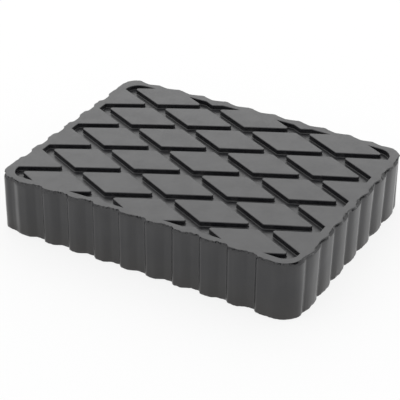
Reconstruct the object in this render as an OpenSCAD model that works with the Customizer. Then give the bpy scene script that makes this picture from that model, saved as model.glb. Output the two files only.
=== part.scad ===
// Rubber block pad for a vehicle lift, moulded in one piece: fluted sides, rounded upright corners,
// a diamond tread sunk into the top and a flat underside.
// The origin is the centre of the underside, +X runs along the length and +Z points up.

/* [Block] */
// Length over the ridges
pad_l = 160; // [130:1:220]
// Width over the ridges
pad_w = 120; // [100:1:180]
// Height
pad_h = 30; // [15:1:60]
// Radius of the upright corners at the right end
corner_r = 12; // [9:0.5:16]
// Radius of the front left corner
front_left_r = 10; // [6:0.5:16]
// Radius of the back left corner
back_left_r = 8; // [6:0.5:16]

/* [Flutes] */
// Width of a flute, without its rounded edges
flute_w = 8.6; // [5:0.2:10]
// Depth of a flute
flute_d = 1.8; // [1:0.1:3]
// Radius of the edges where a flute meets the side
flute_edge_r = 1; // [0.4:0.1:1.5]
// Spacing of the flutes along the front
front_pitch = 14.15; // [12.5:0.05:20]
// Spacing of the flutes along the back
back_pitch = 14; // [12.5:0.1:20]
// Spacing of the flutes along the right side
right_pitch = 14.25; // [12.5:0.05:20]
// Spacing of the flutes along the left side
left_pitch = 13.7; // [12.5:0.1:20]
// Distance from the right end to the first flute of the front
front_lead = 24.3; // [16:0.1:26]
// Distance from each end to the last flute of the back
back_lead = 13; // [11:0.1:16]
// Distance from the front to the first flute of the right side
right_lead = 11.3; // [9:0.1:16]
// Distance from the front to the first flute of the left side
left_lead = 25.8; // [16:0.1:30]

/* [Tread] */
// Spacing of the diamonds along the length
diamond_pitch_l = 50.8; // [40:0.2:70]
// Spacing of the diamonds across the width
diamond_pitch_w = 25.1; // [20:0.1:36]
// Width of a groove, square to its run
groove_w = 4.2; // [2:0.1:6]
// Depth of the grooves
groove_d = 2.5; // [1:0.1:5]
// Radius of the corners of a diamond
diamond_r = 1.2; // [0.5:0.1:2]
// Width of the plain rim around the tread, at the ridges
rim_w = 5; // [4:0.1:8]

/* [Hidden] */
$fn = 96;

// How far a cutter runs past the face that it opens
over = 1;
// How far the arc of a flute's edge crosses the side and the groove, where it would otherwise only touch
edge_bite = 0.03;
// Flats along each rounded corner of a diamond
corner_steps = 4;

// A flute is a round groove: this is the radius that gives its width and depth.
flute_r = (flute_w * flute_w / 4 + flute_d * flute_d) / (2 * flute_d);
// Height of its axis above the side that it is cut into.
flute_rise = flute_r - flute_d;
// Each edge of a flute is an arc from the side to the groove: its centre, seen from the middle of the
// mouth, and the point where it meets the groove.
edge_y = edge_bite - flute_edge_r;
edge_reach = flute_r + flute_edge_r - edge_bite;
edge_x = sqrt(pow(edge_reach, 2) - pow(flute_rise - edge_y, 2));
meet_share = (flute_edge_r - edge_bite / 2) / edge_reach;
meet_x = edge_x * (1 - meet_share);
meet_y = edge_y + (flute_rise - edge_y) * meet_share;

// The sunken field of the tread follows the block at the width of the rim.
field_l = pad_l - 2 * rim_w;
field_w = pad_w - 2 * rim_w;
field_r = corner_r - rim_w;

// Half the diagonals of one cell of the tread, and of the diamond that its grooves leave.
cell_a = diamond_pitch_l / 2;
cell_b = diamond_pitch_w / 2;
edge_angle = atan(cell_b / cell_a);
diamond_a = cell_a - groove_w / 2 / sin(edge_angle);
diamond_b = cell_b - groove_w / 2 / cos(edge_angle);

// Cells from the centre out to the edge of the field.
cells_l = ceil(field_l / 2 / cell_a);
cells_w = ceil(field_w / 2 / cell_b);

// Flutes of the front after its first one, and of the back on each side of its middle.
front_last = floor((pad_l - front_lead - edge_x) / front_pitch);
back_half = floor((pad_l / 2 - corner_r - edge_x) / back_pitch);
// Flutes of the right side after its first one, with the last of them in the corner's curve, and of the
// left side after its first one.
right_last = floor((pad_w - right_lead - 0.7 * corner_r) / right_pitch);
left_last = floor((pad_w - left_lead - back_left_r - edge_x) / left_pitch);

// Centres of the flutes along each side. The front row starts well clear of the right corner and runs
// into the left one, the back row ends in a closer flute at each corner, and the right row runs from corner
// to corner, where the left one stops short of both.
front_flutes = [for (k = [0 : front_last]) pad_l / 2 - front_lead - k * front_pitch];
back_flutes = concat([for (k = [-back_half : back_half]) k * back_pitch],
                     [for (side = [-1, 1]) side * (pad_l / 2 - back_lead)]);
right_flutes = [for (k = [0 : right_last]) right_lead - pad_w / 2 + k * right_pitch];
left_flutes = [for (k = [0 : left_last]) left_lead - pad_w / 2 + k * left_pitch];

// Points along the rounded corner of a diamond that points in the direction turn.
function diamond_corner(turn, reach, half_turn) =
    [for (i = [0 : corner_steps])
        let (a = turn - half_turn + i * 2 * half_turn / corner_steps)
        [reach * cos(turn) + diamond_r * cos(a), reach * sin(turn) + diamond_r * sin(a)]];

// Outline of a diamond: its two long points, and its two blunt ones.
long_reach = diamond_a - diamond_r / sin(edge_angle);
blunt_reach = diamond_b - diamond_r / cos(edge_angle);
diamond_outline = concat(diamond_corner(0, long_reach, 90 - edge_angle),
                         diamond_corner(90, blunt_reach, edge_angle),
                         diamond_corner(180, long_reach, 90 - edge_angle),
                         diamond_corner(270, blunt_reach, edge_angle));

// A rectangle with rounded corners, those of its left end with a radius of their own.
module rounded_rectangle(l, w, r, front_left, back_left) {
    hull()
        for (corner = [[1, 1, r], [1, -1, r], [-1, -1, front_left], [-1, 1, back_left]])
            translate([corner.x * (l / 2 - corner.z), corner.y * (w / 2 - corner.z)]) circle(corner.z);
}

// The cutter of one flute, with the side along the X axis and the block below it.
module flute() {
    translate([0, flute_rise]) circle(flute_r);
    difference() {
        polygon([[-edge_x, over], [-edge_x, edge_y / 2], [-meet_x, meet_y],
                 [meet_x, meet_y], [edge_x, edge_y / 2], [edge_x, over]]);
        for (side = [-1, 1]) translate([side * edge_x, edge_y]) circle(flute_edge_r);
    }
}

// A row of flutes cut into the side that lies at the distance reach from the centre, in the direction turn.
module flute_row(centres, turn, reach) {
    rotate(turn)
        for (c = centres) translate([c, reach]) flute();
}

module block_outline() {
    difference() {
        rounded_rectangle(pad_l, pad_w, corner_r, front_left_r, back_left_r);
        flute_row(back_flutes, 0, pad_w / 2);
        flute_row([for (c = front_flutes) -c], 180, pad_w / 2);
        flute_row([for (c = right_flutes) -c], -90, pad_l / 2);
        flute_row(left_flutes, 90, pad_l / 2);
    }
}

// The grooves, seen from above: the field without its diamonds.
module groove_outline() {
    difference() {
        rounded_rectangle(field_l, field_w, field_r, field_r, field_r);
        for (i = [-cells_l : cells_l], j = [-cells_w : cells_w])
            if ((i + j) % 2 == 0)
                translate([i * cell_a, j * cell_b]) polygon(diamond_outline);
    }
}

module pad() {
    color("#4a4a4c")
        difference() {
            linear_extrude(pad_h) block_outline();
            translate([0, 0, pad_h - groove_d]) linear_extrude(groove_d + over) groove_outline();
        }
}

pad();
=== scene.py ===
import math

import bmesh
import bpy
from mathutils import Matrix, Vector


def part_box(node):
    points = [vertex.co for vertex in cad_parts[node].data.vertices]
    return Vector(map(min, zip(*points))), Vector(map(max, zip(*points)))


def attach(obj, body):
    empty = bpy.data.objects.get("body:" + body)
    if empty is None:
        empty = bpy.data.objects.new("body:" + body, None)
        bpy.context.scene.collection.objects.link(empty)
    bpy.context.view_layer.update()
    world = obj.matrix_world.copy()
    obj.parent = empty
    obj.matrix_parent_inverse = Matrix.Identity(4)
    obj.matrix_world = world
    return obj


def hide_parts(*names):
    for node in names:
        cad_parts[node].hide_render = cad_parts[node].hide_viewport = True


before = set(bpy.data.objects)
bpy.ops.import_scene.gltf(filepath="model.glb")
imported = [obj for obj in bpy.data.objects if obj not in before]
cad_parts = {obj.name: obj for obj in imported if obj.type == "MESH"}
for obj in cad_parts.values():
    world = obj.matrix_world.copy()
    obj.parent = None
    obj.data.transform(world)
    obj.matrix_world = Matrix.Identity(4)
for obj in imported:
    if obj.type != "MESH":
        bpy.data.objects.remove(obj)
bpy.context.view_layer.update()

MM = 0.001

# The block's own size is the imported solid's.
lowest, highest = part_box("pad")
LENGTH, WIDTH, HEIGHT = highest - lowest
CORNER_R = 12 * MM
FRONT_LEFT_R = 10 * MM
BACK_LEFT_R = 8 * MM

# A flute's section in millimetres: its width and depth, then for the wall at the end with the lower
# coordinate, and for the one at the other end, the run in which it falls that far and the length over which
# its edge is rounded, and last how much the bottom is filled in where the walls meet.
FRONT_FLUTE = {"Width": 9.2, "Depth": 1.8, "Lower Run": 3.6, "Lower Edge": 1.7,
               "Upper Run": 1.3, "Upper Edge": 1.5, "Root": 0.4}
# The last flute of the front, which runs into the left corner.
CORNER_FLUTE = {"Width": 9.2, "Depth": 1.7, "Lower Run": 3.6, "Lower Edge": 1.7,
                "Upper Run": 3.2, "Upper Edge": 1.2, "Root": 0.5}
RIGHT_FLUTE = {"Width": 6.2, "Depth": 1.6, "Lower Run": 3.4, "Lower Edge": 4.0,
               "Upper Run": 4.4, "Upper Edge": 4.8, "Root": 0.4}
BACK_FLUTE = {"Width": 13.2, "Depth": 1.7, "Lower Run": 6.4, "Lower Edge": 1.0,
              "Upper Run": 6.4, "Upper Edge": 1.0, "Root": 0.5}
LEFT_FLUTE = {"Width": 9.4, "Depth": 1.1, "Lower Run": 1.6, "Lower Edge": 0.6,
              "Upper Run": 3.2, "Upper Edge": 0.8, "Root": 0.5}
SCALLOP = {"Width": 13.4, "Depth": 2.4, "Lower Run": 4.5, "Lower Edge": 1.0,
           "Upper Run": 8.5, "Upper Edge": 1.0, "Root": 0.3}

# Rows of flutes: the side, the first one's place along it, the spacing, how many follow, and the section.
FRONT_FIRST = LENGTH / 2 - 24.3 * MM
FRONT_PITCH = -14.15 * MM
BACK_CORNER = LENGTH / 2 - 13 * MM
BACK_PITCH = 14 * MM
RIGHT_FIRST = -49.5 * MM
RIGHT_PITCH = 14.25 * MM
LEFT_FIRST = -34.2 * MM
LEFT_PITCH = 13.7 * MM
FLUTE_ROWS = (
    ("front", FRONT_FIRST, FRONT_PITCH, 8, FRONT_FLUTE),
    ("front", FRONT_FIRST + 9 * FRONT_PITCH, FRONT_PITCH, 0, CORNER_FLUTE),
    ("back", -4 * BACK_PITCH, BACK_PITCH, 8, BACK_FLUTE),
    ("back", -BACK_CORNER, 2 * BACK_CORNER, 1, BACK_FLUTE),
    ("right", RIGHT_FIRST, RIGHT_PITCH, 7, RIGHT_FLUTE),
    ("left", LEFT_FIRST, LEFT_PITCH, 5, LEFT_FLUTE),
)

# How deep the shallowest and the deepest flute of a row is, as a share of its section's depth.
FLUTE_SPREAD = (0.85, 1.1)

# On the right the trimmed top has scallops of its own, which don't fall in with the flutes below.
SCALLOPS = ("right", RIGHT_FIRST - 3.1 * MM, RIGHT_PITCH, 7, SCALLOP)

# How squarely the outline has to face a side for that side's flutes to start, and for them to be whole.
FACING = (0.35, 0.75)
# Length of the straight pieces that the outline is made of.
OUTLINE_STEP = 0.3 * MM

# Tread: diamonds left standing by crossed grooves, inside a plain rim.
RIM_W = 5 * MM
GROOVE_D = 2.5 * MM
GROOVE_W = 4.2 * MM
DIAMOND_PITCH_L = 50.8 * MM
DIAMOND_PITCH_W = 25.1 * MM
DIAMOND_R = 1.2 * MM
# Rounding of the tread's upper edges, and of the roots of its walls.
TREAD_EASE = 0.35 * MM

# What moulding and trimming leave: a thin lip of flash round the top with a torn hollow under it, a front
# edge that is cut back unevenly and nearly straight across the flutes, a ragged foot, slightly wavy sides,
# flutes on the right that lean, and a top that sinks a little towards its ends.
LIP = 1.1 * MM
LIP_HANG = 0.25  # how far the lip hangs, as a share of its reach
LIP_TAPER = 3.0  # how sharply it gathers at the very edge
UNDERCUT = 1.1 * MM
UNDERCUT_DROP = 1.15 * MM  # from the top to the middle of the hollow
FRONT_SHARE = 0.35  # what the front has of the lip and of the hollow
CUT_BACK = 1.3 * MM
TRIM_SHARES = (0.2, 0.7, 0.65)  # how much of the cut is even, in slow waves and in fine frills
FRONT_FILL = 0.65  # how far the front's edge fills the mouths of the flutes
FOOT_WEAR = 1.1 * MM
WAVINESS = 0.12 * MM
RIGHT_LEAN = 0.1  # sideways for each unit of height
SAG = 1.08 * MM
SAG_STEP = 8 * MM  # spacing of the edges at which the flat top bends
SEED = 3.0

# Where the marks that only some sides have start, and where they are whole: less of a lip towards the front,
# the front's cut, and the right side's lean, which fades out towards both ends of that side.
LESS_LIP_Y = (-0.33 * WIDTH, -0.38 * WIDTH)
FRONT_CUT_Y = (-0.44 * WIDTH, -0.46 * WIDTH)
LEAN_X = (0.47 * LENGTH, 0.48 * LENGTH)
LEAN_Y = (WIDTH / 2 - 3 * MM, WIDTH / 2 - 14 * MM)
# The lip starts to fade where the top's edge is cut in by the first of these, and is gone at the second. The
# hollow does so at these heights above and below its middle.
LIP_ENDS = (0.1 * MM, 0.6 * MM)
HOLLOW_ENDS = (0.25 * MM, 0.6 * MM)

# Blotches of noise say where each of these marks is: their spacing, the level of the noise at which the mark
# starts, and the one at which it is whole.
BLOTCHES = {
    "lip": (2.6 * MM, 0.36, 0.5),
    "trim": (3.2 * MM, 0.3, 0.7),
    "frill": (1.1 * MM, 0.4, 0.6),
    "wear": (2.6 * MM, 0.47, 0.62),
    "wave": (15 * MM, 0.25, 0.75),
    "hollow": (3 * MM, 0.36, 0.52),
}

# The rubber: its two blacks in clouds and streaks, the dust near its foot, the roughness of the sides and of
# the tread, and what the clouds add to both.
DEEP_BLACK = "#161619"
WORN_BLACK = "#212123"
CLOUD_SPACING = 9 * MM
STREAK_SPACING = 1.3 * MM
STREAK_STRETCH = 0.05  # spacing across the streaks, as a share of that along them
DUST = "#2b2824"
DUST_HEIGHT = 14 * MM
DUST_SHARE = 0.5
RUBBER_IOR = 1.6
SIDE_ROUGHNESS = 0.08
TREAD_ROUGHNESS = 0.3
CLOUD_ROUGHNESS = 0.1

# Its fine relief, as the spacing and the height of the slow unevenness and of the grain.
UNEVENNESS = (6 * MM, 0.08 * MM)
GRAIN = (0.6 * MM, 0.008 * MM)

# The angle in degrees from which an edge between two faces is crisp, beside a level face and elsewhere.
CRISP_BY_LEVEL = 3
CRISP = 30

# The floor: its paper, how far it reaches, its level, which is a hair under the block so that the two don't
# share a plane, and the share of plain white that the camera sees in it and that the block mirrors.
PAPER = "#f4f4f4"
FLOOR_REACH = 6.0
FLOOR_LEVEL = -0.02 * MM
WHITE_SEEN = 0.8
WHITE_MIRRORED = 0.5

# The lamp behind the block, turned towards the origin.
LAMP_SIZE = (1.4, 0.9)
LAMP_WATTS = 3.8
LAMP_PLACE = Vector((-0.55, 1.0, 0.85))

# The camera, solved from the tread's lines in the photograph.
CAMERA_AZIMUTH = 30.09
CAMERA_ELEVATION = 31.39
CAMERA_DISTANCE = 0.6664
CAMERA_LENS = 125.2
CAMERA_AIM = Vector((3.91, -10.69, 15)) * MM


def linear(hex_colour):
    """An sRGB hex colour as linear RGBA."""
    channels = [int(hex_colour[i:i + 2], 16) / 255 for i in (1, 3, 5)]
    return [c / 12.92 if c <= 0.04045 else ((c + 0.055) / 1.055) ** 2.4 for c in channels] + [1.0]


def add(tree, kind, inputs=None, **settings):
    """Adds a node of that kind. An input is a value, a socket, or a node whose first output is used."""
    node = tree.nodes.new(kind)
    for name, value in settings.items():
        setattr(node, name, value)
    for key, value in (inputs or {}).items():
        if isinstance(value, bpy.types.Node):
            value = value.outputs[0]
        if isinstance(value, bpy.types.NodeSocket):
            tree.links.new(value, node.inputs[key])
        else:
            node.inputs[key].default_value = value
    return node


def new_tree(name, inputs, outputs):
    """A geometry tree with those named sockets. Returns it, its input node and its sockets' identifiers."""
    tree = bpy.data.node_groups.new(name, "GeometryNodeTree")
    identifiers = {}
    for label, kind in inputs.items():
        identifiers[label] = tree.interface.new_socket(label, in_out="INPUT", socket_type=kind).identifier
    for label, kind in outputs.items():
        tree.interface.new_socket(label, in_out="OUTPUT", socket_type=kind)
    return tree, tree.nodes.new("NodeGroupInput").outputs, identifiers


def flute_row_tree():
    """How deep a row of flutes cuts at a place along its side."""
    tree, given, _ = new_tree("flute_row", dict.fromkeys(
        ("Along", "First", "Pitch", "Last", "Width", "Depth", "Lower Run", "Lower Edge", "Upper Run",
         "Upper Edge", "Root", "Seed"), "NodeSocketFloat"), {"Cut": "NodeSocketFloat"})
    from_first = add(tree, "ShaderNodeMath", {0: given["Along"], 1: given["First"]}, operation="SUBTRACT")
    steps = add(tree, "ShaderNodeMath", {0: from_first, 1: given["Pitch"]}, operation="DIVIDE")
    nearest = add(tree, "ShaderNodeClamp", {
        "Value": add(tree, "ShaderNodeMath", {0: steps}, operation="ROUND"),
        "Min": 0.0, "Max": given["Last"]})
    centre = add(tree, "ShaderNodeMath", {
        0: nearest, 1: given["Pitch"], 2: given["First"]}, operation="MULTIPLY_ADD")
    off = add(tree, "ShaderNodeMath", {0: given["Along"], 1: centre}, operation="SUBTRACT")

    # No two flutes came out of the mould quite alike.
    number = add(tree, "ShaderNodeMath", {0: nearest, 1: given["Seed"]}, operation="ADD")
    own = add(tree, "ShaderNodeTexWhiteNoise", {"W": number}, noise_dimensions="1D")
    spread = add(tree, "ShaderNodeMapRange", {
        "Value": own.outputs["Value"], "To Min": FLUTE_SPREAD[0], "To Max": FLUTE_SPREAD[1]})
    depth = add(tree, "ShaderNodeMath", {0: given["Depth"], 1: spread}, operation="MULTIPLY")

    # Each wall falls from its own end of the flute, over a rounded edge, and the shallower one holds.
    half = add(tree, "ShaderNodeMath", {0: given["Width"], 1: 0.5}, operation="MULTIPLY")
    floor = depth
    for sign, end in ((1.0, "Lower"), (-1.0, "Upper")):
        inside = add(tree, "ShaderNodeMath", {0: off, 1: sign, 2: half}, operation="MULTIPLY_ADD")
        slope = add(tree, "ShaderNodeMath", {0: depth, 1: given[end + " Run"]}, operation="DIVIDE")
        wall = add(tree, "ShaderNodeMath", {0: inside, 1: slope}, operation="MULTIPLY")
        ease = add(tree, "ShaderNodeMath", {0: given[end + " Edge"], 1: slope}, operation="MULTIPLY")
        wall = add(tree, "ShaderNodeMath", {0: wall, 1: 0.0, 2: ease}, operation="SMOOTH_MAX")
        floor = add(tree, "ShaderNodeMath", {0: floor, 1: wall, 2: given["Root"]}, operation="SMOOTH_MIN")
    add(tree, "NodeGroupOutput", {
        "Cut": add(tree, "ShaderNodeMath", {0: floor, 1: 0.0}, operation="MAXIMUM")})
    return tree


def blotch_tree():
    """Soft noise of a given spacing: 0 where it is below the band from Low to High, 1 where it is above."""
    tree, given, _ = new_tree("blotches", {
        "Place": "NodeSocketVector", **dict.fromkeys(("Spacing", "Low", "High", "Seed"), "NodeSocketFloat")},
        {"Share": "NodeSocketFloat"})
    scale = add(tree, "ShaderNodeMath", {0: 1.0, 1: given["Spacing"]}, operation="DIVIDE")
    noise = add(tree, "ShaderNodeTexNoise", {
        "Vector": given["Place"], "W": given["Seed"], "Scale": scale, "Detail": 2.0}, noise_dimensions="4D")
    add(tree, "NodeGroupOutput", {"Share": add(tree, "ShaderNodeMapRange", {
        "Value": noise, "From Min": given["Low"], "From Max": given["High"]})})
    return tree


def swept_solid_tree():
    """A closed solid whose edge section, given as (out, height), runs round an outline."""
    tree, given, _ = new_tree(
        "swept_solid", {"Outline": "NodeSocketGeometry", "Section": "NodeSocketGeometry",
                        "Outward": "NodeSocketVector", "Drift": "NodeSocketVector"},
        {"Solid": "NodeSocketGeometry"})
    here = add(tree, "GeometryNodeInputPosition")
    outline, section = given["Outline"], given["Section"]
    for name, value in (("outward", given["Outward"]), ("outline", here)):
        outline = add(tree, "GeometryNodeStoreNamedAttribute", {
            "Geometry": outline, "Name": name, "Value": value}, data_type="FLOAT_VECTOR", domain="POINT")
    section = add(tree, "GeometryNodeStoreNamedAttribute", {
        "Geometry": section, "Name": "section", "Value": here}, data_type="FLOAT_VECTOR", domain="POINT")
    side = add(tree, "GeometryNodeCurveToMesh", {
        "Curve": outline, "Profile Curve": add(tree, "GeometryNodeMeshToCurve", {"Mesh": section})})
    named = {name: add(tree, "GeometryNodeInputNamedAttribute", {"Name": name}, data_type="FLOAT_VECTOR")
             for name in ("outward", "outline", "section")}
    part = add(tree, "ShaderNodeSeparateXYZ", {"Vector": named["section"]}).outputs
    out = add(tree, "ShaderNodeVectorMath", {0: named["outward"], "Scale": part["X"]}, operation="SCALE")
    up = add(tree, "ShaderNodeCombineXYZ", {"Z": part["Y"]})
    spot = named["outline"]
    for move in (out, up, given["Drift"]):
        spot = add(tree, "ShaderNodeVectorMath", {0: spot, 1: move}, operation="ADD")
    side = add(tree, "GeometryNodeSetPosition", {"Geometry": side, "Position": spot})

    # A flat face closes each open end: the upper one looks up, and the lower one is turned to look down.
    open_edge = add(tree, "FunctionNodeCompare", {
        2: add(tree, "GeometryNodeInputMeshEdgeNeighbors"), 3: 1}, data_type="INT", operation="EQUAL")
    height = add(tree, "ShaderNodeSeparateXYZ", {"Vector": here}).outputs["Z"]
    levels = add(tree, "GeometryNodeAttributeStatistic", {"Geometry": side, "Attribute": height}).outputs
    solid = add(tree, "GeometryNodeJoinGeometry")
    for level, end in (("Max", "upper"), ("Min", "lower")):
        off = add(tree, "FunctionNodeCompare", {0: height, 1: levels[level], 12: 0.01 * MM},
                  data_type="FLOAT", operation="EQUAL")
        loop = add(tree, "GeometryNodeMeshToCurve", {
            "Mesh": side,
            "Selection": add(tree, "FunctionNodeBooleanMath", {0: open_edge, 1: off}, operation="AND")})
        cap = add(tree, "GeometryNodeFillCurve", {"Curve": loop}, mode="NGONS")
        cap = add(tree, "GeometryNodeTransform", {
            "Geometry": cap, "Translation": add(tree, "ShaderNodeCombineXYZ", {"Z": levels[level]})})
        if end == "lower":
            cap = add(tree, "GeometryNodeFlipFaces", {"Mesh": cap})
        tree.links.new(cap.outputs[0], solid.inputs[0])
    tree.links.new(side.outputs[0], solid.inputs[0])
    add(tree, "NodeGroupOutput", {
        "Solid": add(tree, "GeometryNodeMergeByDistance", {"Geometry": solid, "Distance": 0.005 * MM})})
    return tree


def rounded_outline(tree, mode, radius, count, **spans):
    """A rectangle or a diamond with rounded corners, as a curve."""
    spans = {name.replace("_", " "): value for name, value in spans.items()}
    shape = add(tree, "GeometryNodeCurvePrimitiveQuadrilateral", spans, mode=mode)
    return add(tree, "GeometryNodeFilletCurve", {
        "Curve": shape, "Radius": radius, "Count": count}, mode="POLY")


def mark_shares(tree, at, seed):
    """How much of each mark there is: of the waves at the point itself, of the others along the outline."""
    here = add(tree, "GeometryNodeInputPosition")
    blotches = blotch_tree()
    shares = {}
    for number, (mark, (spacing, start, whole)) in enumerate(BLOTCHES.items()):
        own_seed = add(tree, "ShaderNodeMath", {0: seed, 1: 7.0 * number}, operation="ADD")
        shares[mark] = add(tree, "GeometryNodeGroup", {
            "Place": here if mark == "wave" else at, "Spacing": spacing, "Low": start, "High": whole,
            "Seed": own_seed}, node_tree=blotches)
    return shares


def front_trim(tree, cut_back, shares, from_middle):
    """How far the front's edge is cut back: partly evenly, and partly in slow waves and in fine frills."""
    on_front = add(tree, "ShaderNodeMapRange", {
        "Value": from_middle["Y"], "From Min": FRONT_CUT_Y[0], "From Max": FRONT_CUT_Y[1]})
    cut, waves, frills = TRIM_SHARES
    for mark, weight in (("trim", waves), ("frill", frills)):
        cut = add(tree, "ShaderNodeMath", {0: shares[mark], 1: weight, 2: cut}, operation="MULTIPLY_ADD")
    for share in (on_front, cut_back):
        cut = add(tree, "ShaderNodeMath", {0: cut, 1: share}, operation="MULTIPLY")
    return cut


def right_lean(tree, height, from_middle):
    """How far the flutes of the right side lean: most in its middle, and not at all at its corners."""
    on_right = add(tree, "ShaderNodeMapRange", {
        "Value": from_middle["X"], "From Min": LEAN_X[0], "From Max": LEAN_X[1]})
    off_middle = add(tree, "ShaderNodeMath", {0: from_middle["Y"]}, operation="ABSOLUTE")
    off_corner = add(tree, "ShaderNodeMapRange", {
        "Value": off_middle, "From Min": LEAN_Y[0], "From Max": LEAN_Y[1]}, interpolation_type="SMOOTHSTEP")
    lean = add(tree, "ShaderNodeMath", {0: height, 1: RIGHT_LEAN}, operation="MULTIPLY")
    for share in (on_right, off_corner):
        lean = add(tree, "ShaderNodeMath", {0: lean, 1: share}, operation="MULTIPLY")
    return lean


def edge_drift(tree, given):
    """How far the moulding and the trimming moved each point of the block's edge.

    The section's third number says how much of it a point takes: of the lip above nought, of the
    foot's wear below.
    """
    at, outward, section = [
        add(tree, "GeometryNodeInputNamedAttribute", {"Name": name}, data_type="FLOAT_VECTOR")
        for name in ("outline", "outward", "section")]
    room, mouth = [add(tree, "GeometryNodeInputNamedAttribute", {"Name": name}, data_type="FLOAT")
                   for name in ("cut", "mouth")]
    section = add(tree, "ShaderNodeSeparateXYZ", {"Vector": section}).outputs
    from_middle = add(tree, "ShaderNodeSeparateXYZ", {"Vector": at}).outputs
    shares = mark_shares(tree, at, given["Seed"])

    # The lip stands where the top reaches out, less of it on the front and round its corners.
    upper = add(tree, "ShaderNodeMath", {0: section["Z"], 1: 0.0}, operation="MAXIMUM")
    on_land = add(tree, "ShaderNodeMapRange", {
        "Value": mouth, "From Min": LIP_ENDS[0], "From Max": LIP_ENDS[1], "To Min": 1.0, "To Max": 0.0})
    lip = add(tree, "ShaderNodeMath", {0: shares["lip"], 1: given["Lip"]}, operation="MULTIPLY")
    lip = add(tree, "ShaderNodeMath", {0: lip, 1: on_land}, operation="MULTIPLY")
    crest = add(tree, "ShaderNodeMath", {0: upper, 1: LIP_TAPER}, operation="POWER")
    lip = add(tree, "ShaderNodeMath", {0: lip, 1: crest}, operation="MULTIPLY")
    toned_down = add(tree, "ShaderNodeMapRange", {
        "Value": from_middle["Y"], "From Min": LESS_LIP_Y[0], "From Max": LESS_LIP_Y[1],
        "To Min": 1.0, "To Max": FRONT_SHARE})
    lip = add(tree, "ShaderNodeMath", {0: lip, 1: toned_down}, operation="MULTIPLY")
    wave = add(tree, "ShaderNodeMapRange", {"Value": shares["wave"], "To Min": -1.0, "To Max": 1.0})
    reach = add(tree, "ShaderNodeMath", {0: wave, 1: given["Waviness"], 2: lip}, operation="MULTIPLY_ADD")

    # The top follows its own scallops, the front's is cut back, and a torn hollow runs under the lip.
    scallop = add(tree, "ShaderNodeMath", {0: room, 1: mouth}, operation="SUBTRACT")
    ragged = front_trim(tree, given["Cut Back"], shares, from_middle)
    scallop = add(tree, "ShaderNodeMath", {0: scallop, 1: ragged}, operation="SUBTRACT")
    reach = add(tree, "ShaderNodeMath", {0: scallop, 1: upper, 2: reach}, operation="MULTIPLY_ADD")
    apart = add(tree, "ShaderNodeMath", {0: section["Y"], 1: HEIGHT - UNDERCUT_DROP}, operation="SUBTRACT")
    apart = add(tree, "ShaderNodeMath", {0: apart}, operation="ABSOLUTE")
    hollow = add(tree, "ShaderNodeMapRange", {
        "Value": apart, "From Min": HOLLOW_ENDS[0], "From Max": HOLLOW_ENDS[1],
        "To Min": 1.0, "To Max": 0.0})
    for share in (shares["hollow"], toned_down, given["Undercut"]):
        hollow = add(tree, "ShaderNodeMath", {0: hollow, 1: share}, operation="MULTIPLY")
    reach = add(tree, "ShaderNodeMath", {0: reach, 1: hollow}, operation="SUBTRACT")

    # Nothing may stand out past the block's own box.
    free = add(tree, "ShaderNodeMath", {0: room, 1: section["X"]}, operation="SUBTRACT")
    reach = add(tree, "ShaderNodeMath", {0: reach, 1: free}, operation="MINIMUM")
    out = add(tree, "ShaderNodeVectorMath", {0: outward, "Scale": reach}, operation="SCALE")

    # The foot is worn away upwards in places, the lip hangs a little, and the right side leans.
    lower = add(tree, "ShaderNodeMath", {0: section["Z"], 1: 0.0}, operation="MINIMUM")
    wear = add(tree, "ShaderNodeMath", {0: shares["wear"], 1: given["Foot Wear"]}, operation="MULTIPLY")
    wear = add(tree, "ShaderNodeMath", {0: wear, 1: lower}, operation="MULTIPLY")
    hang = add(tree, "ShaderNodeMath", {0: lip, 1: -LIP_HANG}, operation="MULTIPLY")
    rest = add(tree, "ShaderNodeCombineXYZ", {
        "Y": right_lean(tree, section["Y"], from_middle),
        "Z": add(tree, "ShaderNodeMath", {0: hang, 1: wear}, operation="SUBTRACT")})
    return add(tree, "ShaderNodeVectorMath", {0: out, 1: rest}, operation="ADD")


def row_cut(tree, row_tree, place, faces, row, seed):
    """How deep a row cuts where the outline faces its side, and how squarely it faces it."""
    side, first, pitch, last, section = row
    across, along = ("Y", "X") if side in ("front", "back") else ("X", "Y")
    sign = 1 if side in ("back", "right") else -1
    cut = add(tree, "GeometryNodeGroup", {
        "Along": place[along], "First": first, "Pitch": pitch, "Last": float(last), "Seed": seed,
        **{name: size * MM for name, size in section.items()}}, node_tree=row_tree)
    facing = add(tree, "ShaderNodeMapRange", {
        "Value": faces[across], "From Min": sign * FACING[0], "From Max": sign * FACING[1]})
    return add(tree, "ShaderNodeMath", {0: cut, 1: facing}, operation="MULTIPLY"), facing


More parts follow.
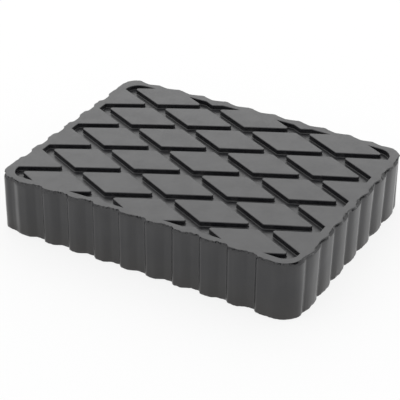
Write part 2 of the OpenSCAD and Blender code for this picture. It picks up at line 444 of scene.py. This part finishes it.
def fluted_outline(tree, given, square_out):
    """A rounded rectangle in short steps, pushed in square to itself where a flute cuts it.

    Each point keeps the way out as side, how deep it was cut, and how deep the top's own edge is as mouth.
    """
    here = add(tree, "GeometryNodeInputPosition")
    place = add(tree, "ShaderNodeSeparateXYZ", {"Vector": here}).outputs
    on_left = add(tree, "ShaderNodeMapRange", {"Value": place["X"], "From Min": 0.0, "From Max": -MM})
    left_radius = add(tree, "ShaderNodeMapRange", {
        "Value": place["Y"], "From Max": MM,
        "To Min": given["Front Left Radius"], "To Max": given["Back Left Radius"]})
    radius = add(tree, "ShaderNodeMix", {0: on_left, 2: given["Corner Radius"], 3: left_radius})
    rounded = rounded_outline(tree, "RECTANGLE", radius, 64, Width=given["Length"], Height=given["Width"])
    stepped = add(tree, "GeometryNodeResampleCurve", {
        "Curve": rounded, "Length": given["Step"]}, mode="LENGTH")
    faces = add(tree, "ShaderNodeSeparateXYZ", {"Vector": square_out}).outputs

    # Each row has a seed of its own, and where two rows meet, the deeper cut holds.
    row_tree = flute_row_tree()
    deepest = 0.0
    for number, row in enumerate(FLUTE_ROWS):
        cut, _ = row_cut(tree, row_tree, place, faces, row, 20.5 * number)
        deepest = add(tree, "ShaderNodeMath", {0: cut, 1: deepest}, operation="MAXIMUM")
    scallop, on_right = row_cut(tree, row_tree, place, faces, SCALLOPS, 7.5)
    on_front = add(tree, "ShaderNodeMapRange", {
        "Value": faces["Y"], "From Min": -FACING[0], "From Max": -FACING[1],
        "To Max": given["Front Fill"]})
    filled = add(tree, "ShaderNodeMix", {0: on_front, 2: deepest, 3: 0.0})
    mouth = add(tree, "ShaderNodeMix", {0: on_right, 2: filled, 3: scallop})
    inward = add(tree, "ShaderNodeVectorMath", {0: square_out, "Scale": deepest}, operation="SCALE")
    spot = add(tree, "ShaderNodeVectorMath", {0: here, 1: inward}, operation="SUBTRACT")
    fluted = stepped
    for name, value, kind in (
            ("side", square_out, "FLOAT_VECTOR"), ("cut", deepest, "FLOAT"), ("mouth", mouth, "FLOAT")):
        fluted = add(tree, "GeometryNodeStoreNamedAttribute", {
            "Geometry": fluted, "Name": name, "Value": value}, data_type=kind, domain="POINT")
    fluted = add(tree, "GeometryNodeSetPosition", {"Geometry": fluted, "Position": spot})
    return add(tree, "GeometryNodeResampleCurve", {
        "Curve": fluted, "Length": given["Step"]}, mode="LENGTH")


def tread_cutter(tree, given, square_out, solid_tree):
    """The sunken field without its diamonds, which stand in two crossed sets of rows."""
    inner = {}
    for name in ("Length", "Width"):
        inner[name] = add(tree, "ShaderNodeMath", {
            0: given["Rim"], 1: -2.0, 2: given[name]}, operation="MULTIPLY_ADD")
    inner_radius = add(tree, "ShaderNodeMath", {
        0: given["Corner Radius"], 1: given["Rim"]}, operation="SUBTRACT")
    field = rounded_outline(
        tree, "RECTANGLE", inner_radius, 16, Width=inner["Length"], Height=inner["Width"])
    blunt = add(tree, "ShaderNodeMath", {0: given["Diamond Width"], 1: 0.5}, operation="MULTIPLY")
    diamond = rounded_outline(tree, "KITE", given["Diamond Radius"], 8, Width=given["Diamond Length"],
                              Bottom_Height=blunt, Top_Height=blunt)
    solids = {}
    for name, curve in (("Field", field), ("Diamond", diamond)):
        section = add(tree, "GeometryNodeObjectInfo", {"Object": given[name + " Section"]})
        solids[name] = add(tree, "GeometryNodeGroup", {
            "Outline": curve, "Section": section.outputs["Geometry"],
            "Outward": square_out}, node_tree=solid_tree)
    along = 2 * math.ceil(LENGTH / DIAMOND_PITCH_L) + 1
    across = 2 * math.ceil(WIDTH / DIAMOND_PITCH_W) + 1
    grid = add(tree, "GeometryNodeMeshGrid", {
        "Size X": (along - 1) * DIAMOND_PITCH_L / 2, "Size Y": (across - 1) * DIAMOND_PITCH_W / 2,
        "Vertices X": along, "Vertices Y": across})
    odd = add(tree, "ShaderNodeMath", {0: add(tree, "GeometryNodeInputIndex"), 1: 2.0}, operation="MODULO")
    middle_odd = float((along * across - 1) // 2 % 2)
    chosen = add(tree, "FunctionNodeCompare", {0: odd, 1: middle_odd, 12: 0.1},
                 data_type="FLOAT", operation="EQUAL")
    diamonds = add(tree, "GeometryNodeInstanceOnPoints", {
        "Points": grid, "Selection": chosen, "Instance": solids["Diamond"]})
    diamonds = add(tree, "GeometryNodeRealizeInstances", {"Geometry": diamonds})
    return add(tree, "GeometryNodeMeshBoolean", {"Mesh 1": solids["Field"], "Mesh 2": diamonds},
               operation="DIFFERENCE", solver="EXACT")


def block_tree():
    """Sweeps the block's edge section round its fluted outline and cuts the tread into its top."""
    sizes = ("Length", "Width", "Corner Radius", "Front Left Radius", "Back Left Radius", "Rim",
             "Diamond Length", "Diamond Width", "Diamond Radius", "Step", "Lip", "Undercut", "Cut Back",
             "Front Fill", "Foot Wear", "Waviness", "Seed")
    tree, given, identifiers = new_tree(
        "moulded_block",
        {"Block Section": "NodeSocketGeometry", "Field Section": "NodeSocketObject",
         "Diamond Section": "NodeSocketObject", **dict.fromkeys(sizes, "NodeSocketFloat"),
         "Material": "NodeSocketMaterial"},
        {"Block": "NodeSocketGeometry"})
    solid_tree = swept_solid_tree()
    square_out = add(tree, "ShaderNodeVectorMath", {
        0: add(tree, "GeometryNodeInputTangent"), 1: (0, 0, 1)}, operation="CROSS_PRODUCT")
    block = add(tree, "GeometryNodeGroup", {
        "Outline": fluted_outline(tree, given, square_out), "Section": given["Block Section"],
        "Outward": add(tree, "GeometryNodeInputNamedAttribute", {"Name": "side"}, data_type="FLOAT_VECTOR"),
        "Drift": edge_drift(tree, given)}, node_tree=solid_tree)
    cutter = tread_cutter(tree, given, square_out, solid_tree)
    cut = add(tree, "GeometryNodeMeshBoolean", {"Mesh 1": block, "Mesh 2": cutter},
              operation="DIFFERENCE", solver="EXACT")
    whole = add(tree, "GeometryNodeRealizeInstances", {"Geometry": cut})
    whole = add(tree, "GeometryNodeSetMaterial", {"Geometry": whole, "Material": given["Material"]})
    add(tree, "NodeGroupOutput", {"Block": whole})
    return tree, identifiers


def arc(centre, radius, start, end, steps):
    """Points of an arc between two angles in degrees."""
    angles = [math.radians(start + (end - start) * i / steps) for i in range(steps + 1)]
    return [(centre[0] + radius * math.cos(a), centre[1] + radius * math.sin(a)) for a in angles]


def section_object(name, points):
    """An edge section as a line of points, listed from the top down."""
    mesh = bpy.data.meshes.new(name)
    mesh.from_pydata([(*point, 0)[:3] for point in points], [(i, i + 1) for i in range(len(points) - 1)], [])
    return bpy.data.objects.new(name, mesh)


def block_section():
    """Each point is how far it lies out from the outline, its height, and its share of the lip or foot.

    The top edge and the side below it stay inside the outline, which leaves the lip room to stand out.
    """
    brow_r = 0.25 * MM
    foot_r = 0.35 * MM
    edge = -0.4 * MM
    side = -0.3 * MM
    brow = arc((edge - brow_r, HEIGHT - brow_r), brow_r, 90, 0, 4)
    points = [(edge - 0.8 * MM, HEIGHT, 0.0)]
    points += [(x, z, 0.6 + 0.1 * i) for i, (x, z) in enumerate(brow)]
    points += [(edge, HEIGHT - drop * MM, share)
               for drop, share in (
                   (0.4, 1.0), (0.6, 0.8), (0.8, 0.6), (1.0, 0.5), (1.3, 0.3), (1.6, 0.1), (2.0, 0.0))]
    points += [((edge + side) / 2, HEIGHT - 2.8 * MM, 0.0), (side, HEIGHT - 4 * MM, 0.0)]
    points += [(side * (1 - part), HEIGHT - 4 * MM - (HEIGHT - 6.2 * MM) * part, 0.0)
               for part in (0.15, 0.35, 0.55, 0.8)]
    points += [(0, 2.2 * MM, 0.0), (0, 1.4 * MM, -0.35), (0, 0.8 * MM, -0.75)]
    points += [(x, z, share) for (x, z), share in zip(
        arc((-foot_r, foot_r), foot_r, 0, -90, 4), (-1.0, -1.0, -0.8, -0.4, 0.0))]
    return section_object("block_section", points)


def tread_sections():
    """The wall of the sunken field, which is cut away, and of a diamond, which is left standing."""
    floor = HEIGHT - GROOVE_D
    clear = HEIGHT + 2 * MM
    low = floor - MM
    ease = TREAD_EASE
    field = [(ease, clear)] + arc((ease, HEIGHT - ease), ease, 90, 180, 4)
    field += arc((-ease, floor + ease), ease, 0, -90, 3)
    diamond = [(-ease, clear)] + arc((-ease, HEIGHT - ease), ease, 90, 0, 4)
    diamond += arc((ease, floor + ease), ease, 180, 270, 3) + [(ease, low)]
    return section_object("field_section", field), section_object("diamond_section", diamond)


def make_block(material):
    """The whole piece: the tree's result for these sizes as a plain mesh."""
    block = block_section()
    bpy.context.collection.objects.link(block)
    sections = tread_sections()
    tree, identifiers = block_tree()
    nodes = block.modifiers.new("shape", "NODES")
    nodes.node_group = tree
    angle = math.atan(DIAMOND_PITCH_W / DIAMOND_PITCH_L)
    sizes = {
        "Field Section": sections[0], "Diamond Section": sections[1],
        "Length": LENGTH, "Width": WIDTH, "Corner Radius": CORNER_R, "Front Left Radius": FRONT_LEFT_R,
        "Back Left Radius": BACK_LEFT_R, "Rim": RIM_W,
        "Lip": LIP, "Undercut": UNDERCUT, "Cut Back": CUT_BACK, "Front Fill": FRONT_FILL,
        "Foot Wear": FOOT_WEAR, "Waviness": WAVINESS, "Seed": SEED,
        "Diamond Length": DIAMOND_PITCH_L - GROOVE_W / math.sin(angle),
        "Diamond Width": DIAMOND_PITCH_W - GROOVE_W / math.cos(angle),
        "Diamond Radius": DIAMOND_R, "Step": OUTLINE_STEP, "Material": material,
    }
    for label, value in sizes.items():
        nodes[identifiers[label]] = value
    shaped = block.evaluated_get(bpy.context.evaluated_depsgraph_get())
    mesh = bpy.data.meshes.new_from_object(shaped)
    block.modifiers.clear()
    block.name = "moulded_block"
    block.data = mesh
    settle(mesh)
    return block


def settle(mesh):
    """Lets the top sink towards its ends, and gives level faces a crisp edge."""
    shape = bmesh.new()
    shape.from_mesh(mesh)
    steps = round(LENGTH / 2 / SAG_STEP)
    for i in range(1 - steps, steps):
        bmesh.ops.bisect_plane(shape, geom=shape.verts[:] + shape.edges[:] + shape.faces[:], dist=1e-7,
                               plane_co=(i * SAG_STEP, 0, 0), plane_no=(1, 0, 0))
    for vertex in shape.verts:
        vertex.co.z -= SAG * (2 * vertex.co.x / LENGTH) ** 2 * vertex.co.z / HEIGHT
    shape.normal_update()
    for face in shape.faces:
        face.smooth = True
    for edge in shape.edges:
        if len(edge.link_faces) == 2:
            level = max(abs(face.normal.z) for face in edge.link_faces) > 0.999
            edge.smooth = edge.calc_face_angle() < math.radians(CRISP_BY_LEVEL if level else CRISP)
    shape.to_mesh(mesh)
    shape.free()


def moulded_rubber():
    """Black rubber pressed in a steel mould: cloudy, finely grained, with drawn streaks and a dusty foot."""
    material = bpy.data.materials.new("moulded_black_rubber")
    material.use_nodes = True
    tree = material.node_tree
    shader = tree.nodes["Principled BSDF"]
    shader.inputs["IOR"].default_value = RUBBER_IOR
    place = add(tree, "ShaderNodeTexCoord").outputs["Object"]
    cloud = add(tree, "ShaderNodeTexNoise", {"Vector": place, "Scale": 1 / CLOUD_SPACING, "Detail": 3.0})
    drawn = add(tree, "ShaderNodeMapping", {"Vector": place, "Scale": (1, 1, STREAK_STRETCH)})
    streaks = add(tree, "ShaderNodeTexNoise", {"Vector": drawn, "Scale": 1 / STREAK_SPACING, "Detail": 3.0})

    # Colour: two blacks in clouds and streaks, and a little brown dust low on the sides.
    tone = add(tree, "ShaderNodeMath", {0: cloud, 1: streaks}, operation="ADD")
    tone = add(tree, "ShaderNodeMapRange", {"Value": tone, "From Min": 0.8, "From Max": 1.2})
    black = add(tree, "ShaderNodeMix", {
        0: tone, 6: linear(DEEP_BLACK), 7: linear(WORN_BLACK)}, data_type="RGBA")
    height = add(tree, "ShaderNodeSeparateXYZ", {"Vector": place}).outputs["Z"]
    dust = add(tree, "ShaderNodeMapRange", {
        "Value": height, "From Min": DUST_HEIGHT, "From Max": 0.0, "To Min": 0.0, "To Max": DUST_SHARE})
    coat = add(tree, "ShaderNodeMix", {
        0: dust, 6: black.outputs[2], 7: linear(DUST)}, data_type="RGBA")
    tree.links.new(coat.outputs[2], shader.inputs["Base Color"])

    # Sheen: the sides come off polished steel and the tread off blasted steel, and the clouds dull both.
    upright = add(tree, "ShaderNodeSeparateXYZ", {
        "Vector": add(tree, "ShaderNodeTexCoord").outputs["Normal"]})
    dullness = add(tree, "ShaderNodeMapRange", {
        "Value": upright.outputs["Z"], "From Min": 0.3, "From Max": 0.8,
        "To Min": SIDE_ROUGHNESS, "To Max": TREAD_ROUGHNESS})
    dullness = add(tree, "ShaderNodeMath", {
        0: tone, 1: CLOUD_ROUGHNESS, 2: dullness}, operation="MULTIPLY_ADD")
    tree.links.new(dullness.outputs[0], shader.inputs["Roughness"])

    # Relief: a grain over slow unevenness. The real grain is finer, and this one as coarse as shows.
    slow = add(tree, "ShaderNodeTexNoise", {"Vector": place, "Scale": 1 / UNEVENNESS[0], "Detail": 2.0})
    relief = add(tree, "ShaderNodeBump", {"Height": slow, "Strength": 1.0, "Distance": UNEVENNESS[1]})
    grain = add(tree, "ShaderNodeTexNoise", {
        "Vector": place, "Scale": 1 / GRAIN[0], "Detail": 3.0, "Roughness": 0.6})
    relief = add(tree, "ShaderNodeBump", {
        "Height": grain, "Normal": relief, "Strength": 1.0, "Distance": GRAIN[1]})
    tree.links.new(relief.outputs[0], shader.inputs["Normal"])
    return material


def lay_floor():
    """A pale sheet of paper, nearly white to the camera, with a soft shadow, and clear from below."""
    floor = bpy.data.objects.new("floor", bpy.data.meshes.new("floor"))
    bpy.context.collection.objects.link(floor)
    corners = [(x * FLOOR_REACH, y * FLOOR_REACH, FLOOR_LEVEL)
               for x, y in ((-1, -1), (1, -1), (1, 1), (-1, 1))]
    floor.data.from_pydata(corners, [], [(0, 1, 2, 3)])
    material = bpy.data.materials.new("floor_paper")
    material.use_nodes = True
    tree = material.node_tree
    tree.nodes.clear()
    seen = add(tree, "ShaderNodeLightPath").outputs
    mirrored = add(tree, "ShaderNodeMath", {
        0: seen["Is Glossy Ray"], 1: WHITE_MIRRORED}, operation="MULTIPLY")
    share = add(tree, "ShaderNodeMath", {
        0: seen["Is Camera Ray"], 1: WHITE_SEEN, 2: mirrored}, operation="MULTIPLY_ADD")
    paper = add(tree, "ShaderNodeBsdfDiffuse", {"Color": linear(PAPER)})
    glow = add(tree, "ShaderNodeEmission", {"Color": (1, 1, 1, 1), "Strength": 1.0})
    white = add(tree, "ShaderNodeMixShader", {0: share, 1: paper, 2: glow})
    from_below = add(tree, "ShaderNodeNewGeometry").outputs["Backfacing"]
    sheet = add(tree, "ShaderNodeMixShader", {
        0: from_below, 1: white, 2: add(tree, "ShaderNodeBsdfTransparent")})
    add(tree, "ShaderNodeOutputMaterial", {"Surface": sheet})
    floor.data.materials.append(material)


def light_studio():
    """White light all round, and a large lamp behind the block that gives its top and edges their sheen."""
    world = bpy.data.worlds.new("studio")
    world.use_nodes = True
    tree = world.node_tree
    tree.nodes.clear()
    sky = add(tree, "ShaderNodeBackground", {"Color": (1, 1, 1, 1), "Strength": 1.0})
    add(tree, "ShaderNodeOutputWorld", {"Surface": sky})
    bpy.context.scene.world = world

    light = bpy.data.lights.new("softbox", "AREA")
    light.shape = "RECTANGLE"
    light.size, light.size_y = LAMP_SIZE
    light.energy = LAMP_WATTS
    lamp = bpy.data.objects.new("softbox", light)
    lamp.location = LAMP_PLACE
    lamp.rotation_euler = (-LAMP_PLACE).to_track_quat("-Z", "Y").to_euler()
    bpy.context.collection.objects.link(lamp)


def place_camera():
    """The photograph's camera."""
    camera = bpy.data.objects.new("camera", bpy.data.cameras.new("camera"))
    camera.data.lens = CAMERA_LENS
    azimuth, elevation = math.radians(CAMERA_AZIMUTH), math.radians(CAMERA_ELEVATION)
    back = Vector((math.sin(azimuth) * math.cos(elevation), -math.cos(azimuth) * math.cos(elevation),
                   math.sin(elevation)))
    camera.location = CAMERA_AIM + back * CAMERA_DISTANCE
    camera.rotation_euler = back.to_track_quat("Z", "Y").to_euler()
    camera.data.clip_end = 20
    bpy.context.collection.objects.link(camera)
    bpy.context.scene.camera = camera
    bpy.context.scene.view_settings.view_transform = "Standard"


rubber = moulded_rubber()
block = make_block(rubber)
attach(block, "root")
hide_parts("pad")
lay_floor()
light_studio()
place_camera()
